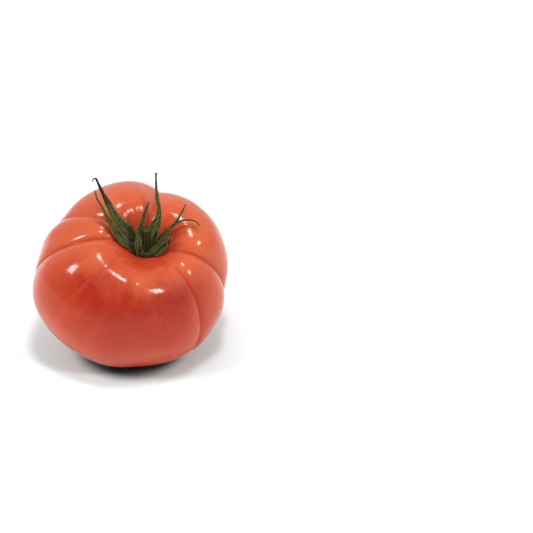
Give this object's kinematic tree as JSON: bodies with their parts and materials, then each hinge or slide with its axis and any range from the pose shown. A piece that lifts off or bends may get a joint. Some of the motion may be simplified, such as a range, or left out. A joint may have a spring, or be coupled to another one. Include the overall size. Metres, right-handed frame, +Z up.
{
  "type": "ripe ribbed tomato",
  "caption": "Ripe red ribbed tomato as picked, resting on its belly, with a green calyx of narrow pointed sepals and a short cut stem stub.",
  "frame": {"origin": "on the resting surface, below the middle of the tomato's box", "axes": "+Z up, -Y the front, to which the stem end leans, +X to the right"},
  "size_m": [0.0887, 0.0867, 0.0873],
  "materials": {
    "fruit_skin": "smooth waxy red skin",
    "calyx_green": "matt green plant tissue with fine hairs"
  },
  "bodies": {
    "root": {"fruit": "fruit_skin", "calyx": "calyx_green"}
  },
  "joints": []
}
